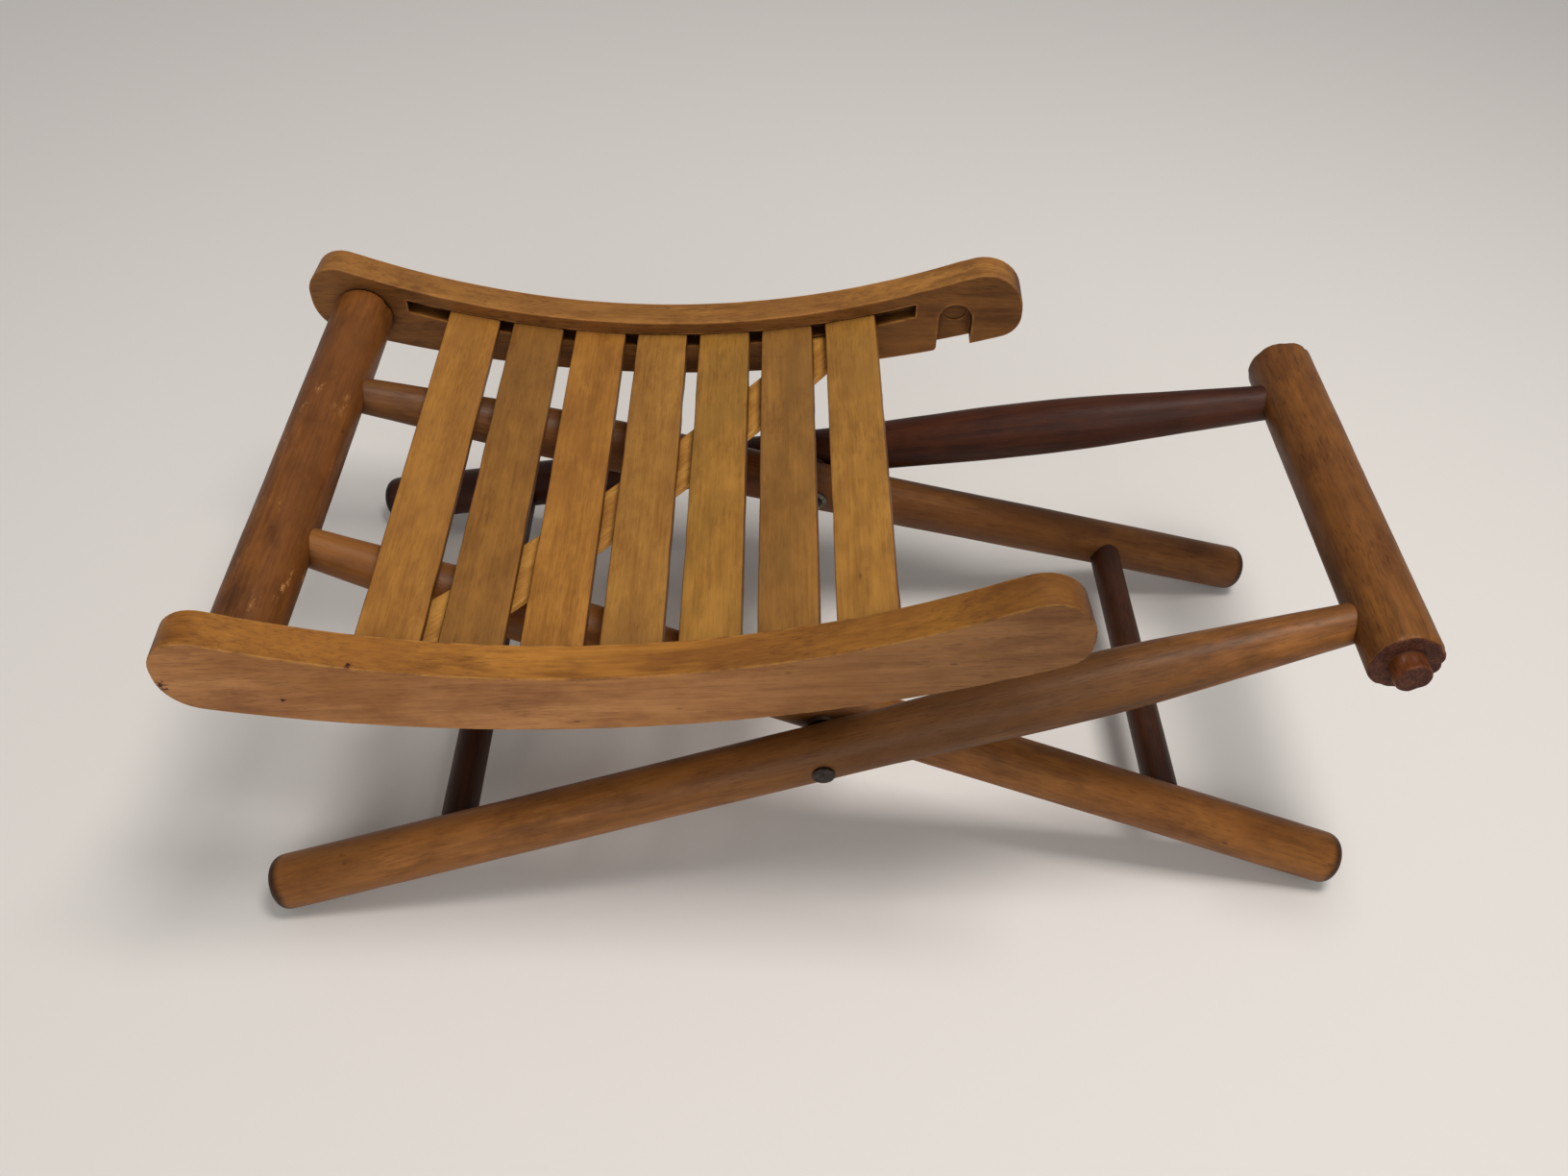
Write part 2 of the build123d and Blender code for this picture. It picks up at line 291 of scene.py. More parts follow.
def rail_outline():
    """Closed side view of a rail, clockwise from its top left corner."""
    end_u = rail_start + rail_length
    top = arc_points(rail_start, end_u, 0, 90)
    low = [Vector((u, arc_height(u, bottom_dip, bottom_arc))) for u in spread(end_u, rail_start, 90)]
    rows = (top, low)
    outline = []
    rounds = ((top_start_round, top_end_round), (bottom_end_round, bottom_start_round))
    for i, row in enumerate(rows):
        other = rows[1 - i]
        start = eased(other[-1], row[0], row[4], rounds[i][0])
        finish = eased(row[-5], row[-1], other[0], rounds[i][1])
        low_x, high_x = sorted((start[-1].x, finish[0].x))
        between = [p for p in row if low_x + 1 * MM < p.x < high_x - 1 * MM]
        outline += start + between + finish
    return outline


def inset(outline, distance):
    """A clockwise outline moved inwards."""
    moved = []
    for i, here in enumerate(outline):
        way = (outline[(i + 1) % len(outline)] - outline[i - 1]).normalized()
        moved.append(here + Vector((way.y, -way.x)) * distance)
    return moved


def rail_board(seed):
    """Rail blank with rounded, rubbed edges. Its inner face is at y = 0."""
    outline = rail_outline()
    quarter = spread(0, pi / 2, 6)
    edge = [(rail_edge * (1 - sin(a)), rail_edge * (1 - cos(a))) for a in reversed(quarter)]
    sections = edge + [(rail_thickness / 2, 0.0)]
    sections += [(rail_thickness - y, pull) for y, pull in reversed(edge)]
    bm = bmesh.new()
    rows = []
    for y, pull in sections:
        row = []
        for u, v in inset(outline, pull):
            spot = Vector((u, y, v))
            worn = ripple(spot, seed, 20, 0.12 * MM) + ripple(spot, seed, 160, 0.05 * MM)
            row.append(bm.verts.new((u, y, v + worn)))
        rows.append(row)
    for row, following in zip(rows, rows[1:]):
        for i in range(len(row)):
            j = (i + 1) % len(row)
            bm.faces.new((row[i], row[j], following[j], following[i]))
    bm.faces.new(rows[0])
    bm.faces.new(rows[-1])
    return bm


def prism(outline, depth):
    """Closed cutter through the inner face of a rail, to a depth."""
    bm = bmesh.new()
    near = [bm.verts.new((x, -2 * MM, z)) for x, z in outline]
    far = [bm.verts.new((x, depth, z)) for x, z in outline]
    bm.faces.new(near)
    bm.faces.new(far)
    for i in range(len(outline)):
        j = (i + 1) % len(outline)
        bm.faces.new((near[i], near[j], far[j], far[i]))
    return bm


def circle(u, v, radius):
    """Points round a circle in the side view."""
    return [(u + radius * cos(a), v + radius * sin(a)) for a in spread(0, 2 * pi, 41)[:-1]]


def groove_outline():
    """Side view of the groove that holds the slats."""
    under = slat_drop + slat_thickness + 2 * groove_play
    top = arc_points(groove_start_u, groove_end_u, slat_drop - groove_play, 60)
    return top + arc_points(groove_end_u, groove_start_u, under, 60)


def notch_outline():
    """Side view of the hook notch: round top, mouth down, one rounded lip."""
    left, right = hook_u - hook_radius, hook_u + hook_radius
    lip_u = left - hook_lip
    lip_v = arc_height(lip_u, bottom_dip, bottom_arc) + hook_lip
    dome = [
        (hook_u + hook_radius * cos(a), hook_v + hook_radius * sin(a))
        for a in spread(0, pi, 25)
    ]
    lip = [(lip_u + hook_lip * cos(a), lip_v - hook_lip * sin(a)) for a in spread(0, pi / 2, 9)]
    base = lip_v - 2 * hook_lip
    return dome + lip + [(lip_u, base), (right, base)]


def use_modifier(piece, kind, **settings):
    """Adds one modifier to a piece and applies it."""
    modifier = piece.modifiers.new(kind.lower(), kind)
    for key, value in settings.items():
        setattr(modifier, key, value)
    with bpy.context.temp_override(object=piece, active_object=piece, selected_objects=[piece]):
        bpy.ops.object.modifier_apply(modifier=modifier.name)


def carve(piece, bm):
    """Cuts a closed shape, given in the piece's own space, out of the piece."""
    bmesh.ops.recalc_face_normals(bm, faces=bm.faces)
    mesh = bpy.data.meshes.new("cutter")
    bm.to_mesh(mesh)
    bm.free()
    cutter = bpy.data.objects.new("cutter", mesh)
    bpy.context.scene.collection.objects.link(cutter)
    cutter.matrix_world = piece.matrix_world
    bpy.context.view_layer.update()
    use_modifier(piece, "BOOLEAN", operation="DIFFERENCE", solver="EXACT", object=cutter)
    bpy.data.objects.remove(cutter)
    bpy.data.meshes.remove(mesh)


def rail(name, side, seed, material):
    """Side rail with its groove, hook notch, bored mark and pivot bore."""
    mirror = Matrix.Scale(side, 4, Vector((0, 1, 0)))
    turn = Matrix.Rotation(-side * rail_converge, 4, "Z")
    place = seat_place @ Matrix.Translation((0, side * inside_half_at_pivot, 0)) @ turn
    bm = rail_board(seed)
    bm.transform(mirror)
    piece = place_piece(name, bm, place, "seat", material)
    for outline, depth in (
        (groove_outline(), groove_depth),
        (notch_outline(), hook_depth),
        (circle(hook_u, hook_v, hook_mark_radius), hook_depth + hook_mark_depth),
        (circle(0, 0, pin_radius), pivot_bore_depth),
    ):
        cutter = prism(outline, depth)
        cutter.transform(mirror)
        carve(piece, cutter)
    use_modifier(piece, "BEVEL", width=0.4 * MM, segments=2, limit_method="ANGLE",
                 angle_limit=radians(50))
    use_modifier(piece, "WEIGHTED_NORMAL", weight=80, keep_sharp=True)


def rounded_rectangle(width, height, radius, per_side, per_corner=5):
    """Closed ring of (y, z) points round a rectangle with rounded corners."""
    points = []
    for right, up, start in ((1, -1, -pi / 2), (1, 1, 0), (-1, 1, pi / 2), (-1, -1, pi)):
        middle = Vector((right * (width / 2 - radius), up * (height / 2 - radius)))
        for angle in spread(start, start + pi / 2, per_corner):
            points.append(middle + Vector((cos(angle), sin(angle))) * radius)
    ring = []
    for here, following in zip(points, points[1:] + points[:1]):
        cuts = per_side if (following - here).length > 2 * radius else 1
        ring += [here.lerp(following, k / cuts) for k in range(cuts)]
    return ring


def slat(name, u, seed, material):
    """Flat slat with softened, slightly uneven edges and a faintly uneven face."""
    swing = top_arc + slat_drop + slat_thickness / 2
    lean = asin((u - rail_dip_at) / swing)
    v = top_dip + top_arc - swing * cos(lean)
    half = inside_half(u) + slat_in_groove
    rings = []
    for x in spread(-half, half, 110):
        ring = []
        for y, z in rounded_rectangle(slat_width, slat_thickness, 1.0 * MM, 10):
            spot = Vector((x, y, z))
            far = abs(y) / (slat_width / 2)
            nibble = max(0, ripple(spot, seed + 5, 45, 0.5 * MM)) * far**8
            rise = ripple(spot, seed, 26, 0.07 * MM) + ripple(spot, seed, 110, 0.03 * MM)
            ring.append(Vector((x, y - nibble * (1 if y > 0 else -1), z + rise)))
        rings.append(ring)
    bm = bmesh.new()
    loft(bm, rings)
    place = seat_place @ Matrix.Translation((u, 0, v)) @ Matrix.Rotation(-lean, 4, "Y")
    place = place @ Matrix.Rotation(pi / 2, 4, "Z")
    place_piece(name, bm, place, "seat", material)


def batten(material):
    """Thin strip bent under the slats, with its ends cut in line with the rails."""
    front = Vector((batten_front_u, batten_end_gap - inside_half(batten_front_u)))
    rear = Vector((batten_rear_u, inside_half(batten_rear_u) - batten_end_gap))
    way = (rear - front).normalized()
    sideways = Vector((-way.y, way.x))
    middle = (front + rear) / 2
    swing = top_arc + slat_drop + slat_thickness + batten_drop + batten_thickness / 2
    rings = []
    for share in spread(0, 1, 100):
        ring = []
        for y, z in rounded_rectangle(batten_width, batten_thickness, 0.6 * MM, 9):
            reach = (front - middle).lerp(rear - middle, share)
            slip = -y * sideways.y / way.y
            spot = middle + reach + sideways * y + way * slip
            lean = asin((spot.x - rail_dip_at) / swing)
            ring.append(Vector((spot.x - z * sin(lean), spot.y, top_dip + top_arc - (swing - z) * cos(lean))))
        rings.append(ring)
    bm = bmesh.new()
    loft(bm, rings)
    own = Matrix.Translation((middle.x, middle.y, 0)) @ Matrix.Rotation(atan2(way.y, way.x), 4, "Z")
    bm.transform(own.inverted())
    place_piece("diagonal_batten", bm, seat_place @ own, "seat", material)


# ---------------------------------------------------------------- materials


def tone(red, green, blue):
    """Linear colour from display values of 0 to 255."""
    shares = [value / 255 for value in (red, green, blue)]
    linear = [s / 12.92 if s <= 0.04045 else ((s + 0.055) / 1.055) ** 2.4 for s in shares]
    return (*linear, 1)


class Graph:
    """A principled material and short ways to add and join its nodes."""

    def __init__(self, name):
        self.material = bpy.data.materials.new(name)
        self.material.use_nodes = True
        self.tree = self.material.node_tree
        self.tree.nodes.clear()
        output = self.add("ShaderNodeOutputMaterial")
        self.shader = self.add("ShaderNodeBsdfPrincipled")
        self.tree.links.new(self.shader.outputs[0], output.inputs[0])
        self.place = self.add("ShaderNodeTexCoord").outputs["Object"]
        self.normal = self.add("ShaderNodeNewGeometry").outputs["Normal"]

    def add(self, kind, **settings):
        """New node with some of its settings."""
        node = self.tree.nodes.new(kind)
        for key, value in settings.items():
            setattr(node, key, value)
        return node

    def put(self, value, socket):
        """Sets a socket, or links it when the value is another socket."""
        if isinstance(value, bpy.types.NodeSocket):
            self.tree.links.new(value, socket)
        else:
            socket.default_value = value

    def math(self, operation, first, second=0.0):
        """One math node."""
        node = self.add("ShaderNodeMath", operation=operation)
        self.put(first, node.inputs[0])
        self.put(second, node.inputs[1])
        return node.outputs[0]

    def times(self, *values):
        """Product of several values."""
        total = values[0]
        for value in values[1:]:
            total = self.math("MULTIPLY", total, value)
        return total

    def plus(self, *values):
        """Sum of several values."""
        total = values[0]
        for value in values[1:]:
            total = self.math("ADD", total, value)
        return total

    def mix(self, share, first, second, blend="MIX"):
        """Colour mix."""
        node = self.add("ShaderNodeMix", data_type="RGBA", blend_type=blend)
        self.put(share, node.inputs[0])
        self.put(first, node.inputs[6])
        self.put(second, node.inputs[7])
        return node.outputs[2]

    def darken(self, share, colour, shade):
        """The colour multiplied by a shade, by a share."""
        return self.mix(share, colour, shade, "MULTIPLY")

    def ramp(self, value, start, end):
        """0 at start, 1 at end, smooth between."""
        node = self.add("ShaderNodeMapRange", interpolation_type="SMOOTHSTEP")
        self.put(value, node.inputs[0])
        low, high = sorted((start, end))
        node.inputs[1].default_value = low
        node.inputs[2].default_value = high
        if start > end:
            node.inputs[3].default_value = 1
            node.inputs[4].default_value = 0
        return node.outputs[0]

    def spots(self, scale, seed):
        """Object coordinates per metre, scaled along and across the grain."""
        node = self.add("ShaderNodeMapping")
        self.put(self.place, node.inputs[0])
        node.inputs[1].default_value = (seed * 1.37, seed * 0.71, -seed * 0.93)
        node.inputs[3].default_value = scale if isinstance(scale, tuple) else (scale,) * 3
        return node.outputs[0]

    def noise(self, scale, seed, detail=2.0, roughness=0.5, distortion=0.0):
        """Noise with its own scale along and across the grain."""
        node = self.add("ShaderNodeTexNoise")
        self.put(self.spots(scale, seed), node.inputs["Vector"])
        node.inputs["Scale"].default_value = 1
        node.inputs["Detail"].default_value = detail
        node.inputs["Roughness"].default_value = roughness
        node.inputs["Distortion"].default_value = distortion
        return node.outputs[0]

    def axes(self, vector):
        """X, Y and Z of a vector."""
        node = self.add("ShaderNodeSeparateXYZ")
        self.put(vector, node.inputs[0])
        return node.outputs

    def own_normal(self):
        """Surface direction in the piece's own axes."""
        node = self.add("ShaderNodeVectorTransform", vector_type="NORMAL",
                        convert_from="WORLD", convert_to="OBJECT")
        self.put(self.normal, node.inputs[0])
        return self.axes(node.outputs[0])

    def worn_corner(self, radius, seed):
        """Thin line along the edges of a piece, and ragged wear beside it."""
        rounded = self.add("ShaderNodeBevel", samples=8)
        rounded.inputs["Radius"].default_value = radius
        compare = self.add("ShaderNodeVectorMath", operation="DOT_PRODUCT")
        self.put(self.normal, compare.inputs[0])
        self.put(rounded.outputs[0], compare.inputs[1])
        corner = self.ramp(compare.outputs["Value"], 0.995, 0.90)
        line = self.ramp(compare.outputs["Value"], 0.985, 0.93)
        ragged = self.ramp(self.noise((90, 200, 200), seed, 4, 0.6), 0.36, 0.60)
        return line, self.times(corner, ragged)

    def shade_and_grime_in_nooks(self, reach):
        """Ambient-occlusion mask of narrow inside corners, grooves and joints, used for painted shade with
        some grime.
        """
        node = self.add("ShaderNodeAmbientOcclusion", samples=6)
        node.inputs["Distance"].default_value = reach
        return self.ramp(node.outputs["AO"], 0.80, 0.22)

    def finish(self, colour, roughness, height, strength):
        """Joins colour, roughness and bump height to the shader."""
        bump = self.add("ShaderNodeBump")
        bump.inputs["Strength"].default_value = strength
        bump.inputs["Distance"].default_value = 0.25 * MM
        self.put(height, bump.inputs["Height"])
        self.put(colour, self.shader.inputs["Base Color"])
        self.put(roughness, self.shader.inputs["Roughness"])
        self.put(bump.outputs[0], self.shader.inputs["Normal"])
        return self.material


def varnish(g, seed, light, dark, patch, patch_share, side_tones_and_shade, figure_share):
    """Grain from dark to light with broad patches, and a tone pair for faces that look along Y, which is
    painted shade on some pieces. Gives colour, fibre and mottle.
    """
    figure = g.noise((6, 62, 62), seed, 3, 0.55, 0.6)
    fibre = g.noise((26, 640, 640), seed + 5, 4, 0.65)
    mottle = g.noise((48, 120, 120), seed + 6, 4, 0.6)
    grain = g.plus(g.times(figure, 0.42 * figure_share), g.times(fibre, 0.28), g.times(mottle, 0.34))
    middle = 0.21 * figure_share + 0.31
    shade = g.ramp(grain, middle - 0.13, middle + 0.13)
    colour = g.mix(shade, dark, light)
    if side_tones_and_shade:
        # Faces that look along Y take their own pair of tones: painted shade on the rear rail's faces and on
        # the slats' narrow sides, a paler, pinker tone on the front rail's.
        facing = g.ramp(g.math("ABSOLUTE", g.own_normal()[1]), 0.55, 0.85)
        colour = g.mix(facing, colour, g.mix(shade, *side_tones_and_shade))
    if patch:
        broad = g.noise((11, 24, 24), seed + 7, 3, 0.55, 0.4)
        colour = g.mix(g.times(g.ramp(broad, 0.42, 0.64), patch_share), colour, patch)
    return colour, fibre, mottle


def blemishes(g, seed, colour, fleck, grime):
    """Ray flecks and pores along the grain, small knots and dents, and handling dirt."""
    dash = g.noise((150, 1300, 1300), seed + 11, 1.5, 0.5)
    crowd = g.noise(26, seed + 13)
    flecks = g.times(g.ramp(dash, 0.52, 0.70), g.ramp(crowd, 0.26, 0.60))
    colour = g.darken(g.times(flecks, fleck), colour, tone(150, 116, 94))

    cells = g.add("ShaderNodeTexVoronoi", feature="F1")
    g.put(g.spots((55, 130, 130), seed + 17), cells.inputs["Vector"])
    cells.inputs["Scale"].default_value = 1
    dents = g.times(g.ramp(cells.outputs["Distance"], 0.13, 0.04),
                    g.ramp(g.noise(13, seed + 19, 1), 0.60, 0.68))
    colour = g.darken(g.times(dents, 0.6), colour, tone(105, 72, 58))

    dirt = g.noise((30, 70, 70), seed + 23, 6, 0.65)
    colour = g.darken(g.times(g.ramp(dirt, 0.48, 0.70), grime), colour, tone(165, 138, 120))
    return colour, flecks, dents


def edge_wear(g, seed, colour, arris, edge):
    """Broken line along the arrises and rubbed corners beside it. Gives colour and wear."""
    line, worn = g.worn_corner(2 * MM, seed + 29)
    if arris:
        broken = g.ramp(g.noise((60, 400, 400), seed + 30, 4, 0.7), 0.60, 0.44)
        colour = g.mix(g.times(line, broken), colour, arris)
    if edge:
        colour = g.mix(g.times(worn, 0.75), colour, edge)
    return colour, worn


def scuffs(g, seed, colour, rubs, rub_tone):
    """Pale scuffs in a few areas."""
    scuff = g.ramp(g.noise((60, 150, 150), seed + 31, 7, 0.75), 0.58, 0.66)
    where = g.ramp(g.noise((10, 18, 18), seed + 37, 2), 0.48, 0.62)
    return g.mix(g.times(scuff, where, rubs), colour, rub_tone)


def stains_and_painted_shade(g, colour, mottle, stain_and_shade_bands):
    """Tone changes along the piece, each from one distance along X to another: real stains, and painted
    shadow of the rail on the front outer leg.
    """
    reach = g.math("ABSOLUTE", g.axes(g.place)[0])
    for start, stop, tint in stain_and_shade_bands:
        ragged = g.plus(reach, g.times(g.plus(mottle, -0.5), (stop - start) * 0.8))
        colour = g.darken(g.ramp(ragged, start, stop), colour, tint)
    return colour


def marked(g, seed, colour, marks):
    """Single dark dents or cracks at given places."""
    for spot, radius in marks:
        away = g.add("ShaderNodeVectorMath", operation="DISTANCE")
        g.put(g.place, away.inputs[0])
        away.inputs[1].default_value = spot
        uneven = g.times(g.plus(g.noise(700, seed), -0.5), 2.5 * radius)
        ragged = g.plus(away.outputs["Value"], uneven)
        colour = g.darken(g.ramp(ragged, radius, 0.3 * radius), colour, tone(92, 50, 44))
    return colour


def end_grain(g, seed, colour, endwise, end):
    """Pores and growth rings on the faces cut across the grain."""
    pores = g.ramp(g.noise((200, 800, 800), seed + 41, 4, 0.7), 0.40, 0.62)
    rings = g.ramp(g.noise((20, 190, 190), seed + 42, 3, 0.6), 0.42, 0.58)
    cut = g.darken(g.times(pores, 0.8), end, tone(150, 120, 105))
    cut = g.darken(g.times(rings, 0.6), cut, tone(165, 140, 128))
    return g.mix(endwise, colour, cut)


def wood(name, seed, light, dark, patch=None, patch_share=0.5, edge=None, arris=None,
         end=None, fleck=0.5, grime=0.35, rubs=0.0, rub_tone=None, side_tones_and_shade=None, stain_and_shade_bands=(),
         marks=(), figure_share=1.0):
    """Old varnished beech with its grain along the piece's own X axis.

    patch is a second varnish tone, edge the tone of rubbed corners, arris the
    tone of the thin line along them, end the tone of end grain, and the side
    tones a dark and a light tone for faces that look along Y: painted shade on
    the rear rail and on the slats' narrow sides, a paler, pinker tone on the
    front rail. A band is a (from, to, tint) that sets in between two distances
    along X and multiplies the colour: real stains at the feet and pin
    shoulders, painted shadow of the rail on the front outer leg, and a darker
    end on the front rail. A mark is a (place, radius) of one dark dent or crack.
    """
    g = Graph(name)
    colour, fibre, mottle = varnish(g, seed, light, dark, patch, patch_share, side_tones_and_shade, figure_share)
    colour, flecks, dents = blemishes(g, seed, colour, fleck, grime)
    colour, worn = edge_wear(g, seed, colour, arris, edge)
    if rub_tone:
        colour = scuffs(g, seed, colour, rubs, rub_tone)
    colour = stains_and_painted_shade(g, colour, mottle, stain_and_shade_bands)
    colour = marked(g, seed, colour, marks)
    endwise = g.ramp(g.math("ABSOLUTE", g.own_normal()[0]), 0.62, 0.90)
    if end:
        colour = end_grain(g, seed, colour, endwise, end)
    # Painted shade with some grime: darker in grooves, joints and inside corners, from the ambient-occlusion
    # mask.
    colour = g.darken(g.times(g.shade_and_grime_in_nooks(9 * MM), 0.9), colour, tone(86, 55, 42))

    gloss = g.noise((45, 110, 110), seed + 43, 5, 0.65)
    roughness = g.plus(0.36, g.times(gloss, 0.28), g.times(worn, 0.15), g.times(endwise, 0.2))
    uneven = g.noise((26, 66, 66), seed + 47, 3)
    height = g.plus(g.times(fibre, 0.45), g.times(uneven, 1.6), g.times(flecks, -0.4),
                    g.times(dents, -1.0), g.times(worn, -0.8))
    g.shader.inputs["Specular IOR Level"].default_value = 0.2
    g.shader.inputs["Coat Weight"].default_value = 0.05
    g.shader.inputs["Coat Roughness"].default_value = 0.3
    return g.finish(colour, roughness, height, 0.6)


def metal(name, seed, light, dark, roughness):
    """Old tarnished steel with small rust spots."""
    g = Graph(name)
    cloud = g.noise(420, seed, 5, 0.65)
    rust = g.noise(1500, seed + 3, 3, 0.6)
    colour = g.mix(g.ramp(cloud, 0.38, 0.66), dark, light)
    colour = g.mix(g.times(g.ramp(rust, 0.54, 0.68), 0.6), colour, tone(74, 44, 28))
    g.shader.inputs["Metallic"].default_value = 0.8
    return g.finish(colour, g.plus(roughness, g.times(cloud, 0.25)), g.plus(cloud, rust), 0.5)


# ---------------------------------------------------------------- leg frames

catch = node_middle("catch_bar")
leg_pairs = {
    "inner": (pivot, inner_foot_reach, inner_bar_reach, inner_foot_half, inner_bar_half,
              inner_belly_radius),
    "outer": (catch, outer_foot_reach, outer_bar_reach, outer_foot_half, outer_bar_half,
              outer_belly_radius),
}
leg_tones = {
    "inner_leg_rear": (tone(120, 75, 32), tone(86, 50, 20), tone(98, 58, 24), ()),
    "inner_leg_front": (tone(146, 93, 40), tone(106, 64, 26), tone(128, 78, 31), ()),
    "outer_leg_rear": (tone(74, 34, 12), tone(46, 19, 7), tone(58, 25, 10), ()),
    "outer_leg_front": (
        tone(162, 105, 50), tone(112, 69, 29), tone(132, 84, 38),
        # The front outer leg's first two bands are painted shadow of the rail over its upper part: darker
        # from 150 mm, lighter again from 410 mm toward the tip.
        ((150 * MM, 330 * MM, tone(180, 180, 184)), (410 * MM, 480 * MM, tone(328, 324, 318))),
    ),
}
leg_marks = {
    "outer_leg_front": ((Vector((410, -11.5, -7.5)) * MM, 2.6 * MM),),
    "inner_leg_front": (
        (Vector((395, -9, 10)) * MM, 2.4 * MM),
        (Vector((60, -8, 10.5)) * MM, 2 * MM),
    ),
}
for number, (name, (light, dark, patch, stain_and_shade_bands)) in enumerate(leg_tones.items()):
    pair, _, word = name.split("_")
    bar, foot_reach, bar_reach, foot_half, bar_half, belly = leg_pairs[pair]
    side = 1 if word == "rear" else -1
    foot, tip = leg_axis(bar, foot_reach, foot_half, bar_half, side)
    look = wood(name, 21 + 7 * number, light, dark, patch, 0.7, edge=tone(70, 42, 22),
                end=tone(90, 58, 34), fleck=0.3,
                stain_and_shade_bands=(*stain_and_shade_bands, (8 * MM, 3 * MM, tone(112, 98, 92))), marks=leg_marks.get(name, ()))
    leg(name, f"{pair}_frame", foot, tip, foot_reach / (foot_reach + bar_reach), belly,
        3.1 * (number + 1), look)

pivot_bar_half = inside_half_at_pivot - pivot_bar_gap
pivot_look = wood("pivot_bar", 31, tone(136, 82, 33), tone(88, 50, 18), tone(106, 61, 24), 0.6,
                  fleck=0.2, grime=0.38, rubs=1.0, rub_tone=tone(190, 136, 80), figure_share=0.4)
cross_bar("pivot_bar", "inner_frame", pivot, pivot_bar_half, pivot_bar_radius,
          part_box("pivot_bar")[1].y, 5.2, pivot_look)
catch_look = wood("catch_bar", 37, tone(134, 84, 34), tone(90, 53, 21), tone(100, 58, 24), 0.5,
                  edge=tone(78, 44, 28), end=tone(96, 54, 36), fleck=0.45, figure_share=0.6,
                  stain_and_shade_bands=((catch_bar_half - 1 * MM, catch_bar_half + 2 * MM, tone(222, 196, 214)),))
cross_bar("catch_bar", "outer_frame", catch, catch_bar_half, catch_bar_radius,
          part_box("catch_bar")[1].y, 8.4, catch_look)

stretchers = (
    ("inner_stretcher", "inner", 180.5 * MM, tone(64, 32, 13), tone(40, 19, 8), 41),
    ("outer_stretcher", "outer", 176.2 * MM, tone(62, 30, 11), tone(38, 17, 6), 43),
)
for name, pair, reach, light, dark, seed in stretchers:
    _, foot_reach, bar_reach, foot_half, bar_half, _ = leg_pairs[pair]
    splay = (foot_half - bar_half) / (foot_reach + bar_reach)
    half = bar_half + splay * (bar_reach + reach) - leg_radius + scribe
    stretcher(name, f"{pair}_frame", half, seed, wood(name, seed, light, dark, fleck=0.4))

# ---------------------------------------------------------------- seat pieces

rail_looks = {
    # The rear rail's darker tones for faces that look along Y are painted shade on its inner face.
    "side_rail_rear": dict(
        light=tone(166, 114, 51), dark=tone(118, 75, 32), patch=tone(136, 89, 42),
        edge=tone(178, 122, 60), side_tones_and_shade=(tone(92, 57, 25), tone(132, 85, 40)), fleck=0.5,
    ),
    "side_rail_front": dict(
        light=tone(172, 114, 43), dark=tone(118, 72, 25), patch=tone(142, 88, 33),
        edge=tone(196, 140, 66), arris=tone(84, 48, 22), fleck=0.35,
        side_tones_and_shade=(tone(146, 95, 51), tone(184, 129, 76)),
        # Darker towards the hook end.
        stain_and_shade_bands=((150 * MM, 310 * MM, tone(210, 210, 206)),),
        marks=(
            (Vector((-24.5, -16.5, 2)) * MM, 3.6 * MM),
            (Vector((49, -16.5, 9)) * MM, 1.8 * MM),
            (Vector((20, -18.2, -9)) * MM, 1.3 * MM),
        ),
    ),
}
for name, look in rail_looks.items():
    side = 1 if name.endswith("rear") else -1
    rail(name, side, 11.3 + side, wood(name, 51 + side, end=tone(108, 66, 38), **look))

slat_tones = (
    ((172, 119, 50), (136, 88, 34), (146, 99, 45)),
    ((150, 102, 42), (118, 76, 30), (126, 86, 38)),
    ((174, 119, 49), (134, 86, 31), (141, 92, 38)),
    ((166, 118, 52), (132, 87, 35), (136, 93, 41)),
    ((168, 119, 50), (129, 88, 32), (134, 97, 40)),
    ((156, 108, 48), (121, 81, 34), (127, 89, 42)),
    ((174, 124, 54), (136, 92, 38), (146, 103, 44)),
)
for number, tones in enumerate(slat_tones):
    name = f"slat_{number + 1}"
    light, dark, patch = (tone(*values) for values in tones)
    # The much darker tones for faces that look along Y are painted shade on the slats' narrow sides in the
    # gaps between them.
    look = wood(name, 60 + 5 * number, light, dark, patch, 0.6, edge=tone(146, 86, 34),
                end=tone(110, 70, 38), fleck=0.2, figure_share=0.7, grime=0.22,
                side_tones_and_shade=(tone(84, 48, 20), tone(122, 74, 32)))
    slat(name, first_slat_u + slat_pitch * number, 20 + 3.7 * number, look)

batten(wood("diagonal_batten", 101, tone(236, 174, 82), tone(192, 130, 54), fleck=0.3,
            grime=0.15, edge=tone(150, 84, 36), end=tone(150, 96, 52)))

# ---------------------------------------------------------------- metalwork

rivet_shank, rivet_head, rivet_head_height = 2.5 * MM, 5.2 * MM, 1.4 * MM
rivet_dome, rivet_dome_height = 3.6 * MM, 1.3 * MM


def rivet(name, side, material):
    """Rivet with a flat outer head and a hammered inner end."""
    low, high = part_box(name)
    inner, outer = sorted((abs(low.y), abs(high.y)))
    corners = [
        (inner, 0.2 * MM, 0),
        (inner + 0.2 * MM, rivet_dome * 0.8, 0.6 * MM),
        (inner + rivet_dome_height, rivet_dome, 0.2 * MM),
        (inner + rivet_dome_height, rivet_shank, 0),
        (outer - rivet_head_height, rivet_shank, 0),
        (outer - rivet_head_height, rivet_head, 0.2 * MM),
        (outer - 0.3 * MM, rivet_head, 0.4 * MM),
        (outer, 0.2 * MM, 0),
    ]
    bm = turned(corners, side, 0.03 * MM, 48, 1 * MM)
    place_piece(name, bm, across(crossing.x, crossing.z, 0, side), "inner_frame",
                material)


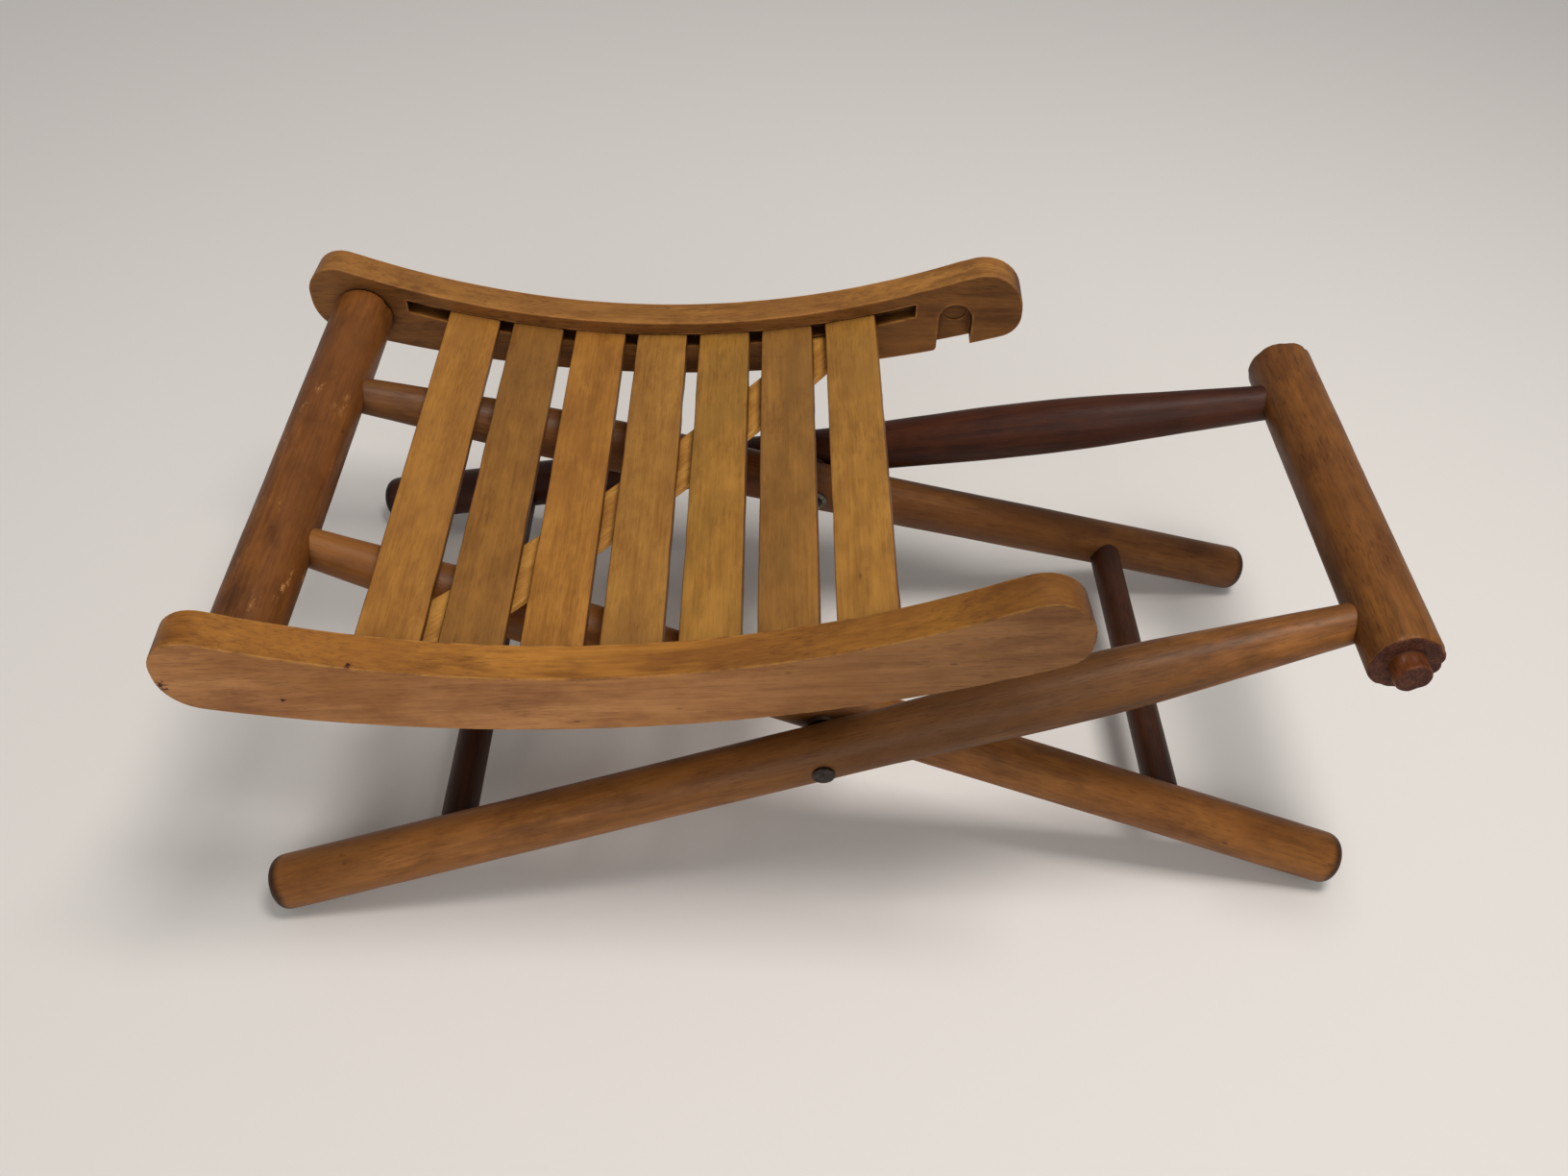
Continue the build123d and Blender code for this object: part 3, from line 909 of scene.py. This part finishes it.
def washer(name, side, material):
    """Flat washer round a rivet, with softened rims."""
    low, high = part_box(name)
    near, far = sorted((abs(low.y), abs(high.y)))
    radius = (high.x - low.x) / 2
    hole = rivet_shank - 0.05 * MM
    corners = [(near, hole, 0), (near, radius, 0.3 * MM), (far, radius, 0.3 * MM), (far, hole, 0)]
    bm = turned(corners, side, 0.02 * MM, 48, 1 * MM)
    place_piece(name, bm, across(crossing.x, crossing.z, 0, side), "inner_frame", material)


rivet_steel = metal("rivet_steel", 3, tone(74, 66, 62), tone(38, 33, 31), 0.42)
washer_steel = metal("washer_steel", 5, tone(142, 138, 124), tone(92, 86, 74), 0.4)
leather = wood("spacer_leather", 7, tone(84, 56, 40), tone(52, 34, 26), fleck=0.2)
for side, word in ((1, "rear"), (-1, "front")):
    rivet(f"rivet_{word}", side, rivet_steel)
    washer(f"burr_washer_{word}", side, washer_steel)
    washer(f"spacer_washer_{word}", side, leather)

tacks = frame["nodes"]["batten_tacks"]
tacks.data.materials.clear()
tacks.data.materials.append(metal("tack_steel", 9, tone(120, 112, 100), tone(70, 60, 50), 0.4))

# ---------------------------------------------------------------- studio

floor_half = 6.0
floor_gap = 0.2 * MM
camera_place = Vector((-44.79, -481.65, 575.98)) * MM
camera_yaw, camera_pitch, camera_roll = radians(3.508), radians(-45.477), radians(4.722)
camera_lens, camera_sensor = 30.99, 36


def studio_floor():
    """Wide pale floor just under the feet."""
    mesh = bpy.data.meshes.new("floor")
    corners = [(-1, -1, 0), (1, -1, 0), (1, 1, 0), (-1, 1, 0)]
    mesh.from_pydata([Vector(corner) * floor_half for corner in corners], [], [(0, 1, 2, 3)])
    floor = bpy.data.objects.new("floor", mesh)
    floor.location.z = -floor_gap
    bpy.context.scene.collection.objects.link(floor)
    cloth = Graph("floor")
    cloth.shader.inputs["Base Color"].default_value = tone(230, 226, 222)
    cloth.shader.inputs["Roughness"].default_value = 0.9
    mesh.materials.append(cloth.material)


def soft_light(name, place, size, power, colour):
    """Square area light aimed at the middle of the stool."""
    data = bpy.data.lights.new(name, "AREA")
    data.shape = "SQUARE"
    data.size = size
    data.energy = power
    data.color = colour
    light = bpy.data.objects.new(name, data)
    light.location = place
    aim = Vector((0, 0, 0.1)) - Vector(place)
    light.rotation_euler = aim.to_track_quat("-Z", "Y").to_euler()
    bpy.context.scene.collection.objects.link(light)


def studio_world():
    """Faint even light from all round."""
    world = bpy.data.worlds.new("studio")
    world.use_nodes = True
    sky = world.node_tree.nodes["Background"].inputs
    sky[0].default_value = (0.86, 0.85, 0.84, 1)
    sky[1].default_value = 0.32
    bpy.context.scene.world = world
    bpy.context.scene.view_settings.view_transform = "Standard"


def studio_camera():
    """Looks down across the stool from the front, a little left of its middle."""
    data = bpy.data.cameras.new("camera")
    data.sensor_width = camera_sensor
    data.lens = camera_lens
    camera = bpy.data.objects.new("camera", data)
    camera.matrix_world = (
        Matrix.Translation(camera_place)
        @ Matrix.Rotation(-camera_yaw, 4, "Z")
        @ Matrix.Rotation(pi / 2 + camera_pitch, 4, "X")
        @ Matrix.Rotation(camera_roll, 4, "Z")
    )
    bpy.context.scene.collection.objects.link(camera)
    bpy.context.scene.camera = camera


studio_floor()
soft_light("overhead", (0.30, -0.08, 1.60), 0.55, 15.5, (1.0, 0.97, 0.93))
soft_light("front", (0.00, -2.80, 1.70), 2.2, 33, (1.0, 0.98, 0.95))
studio_world()
studio_camera()
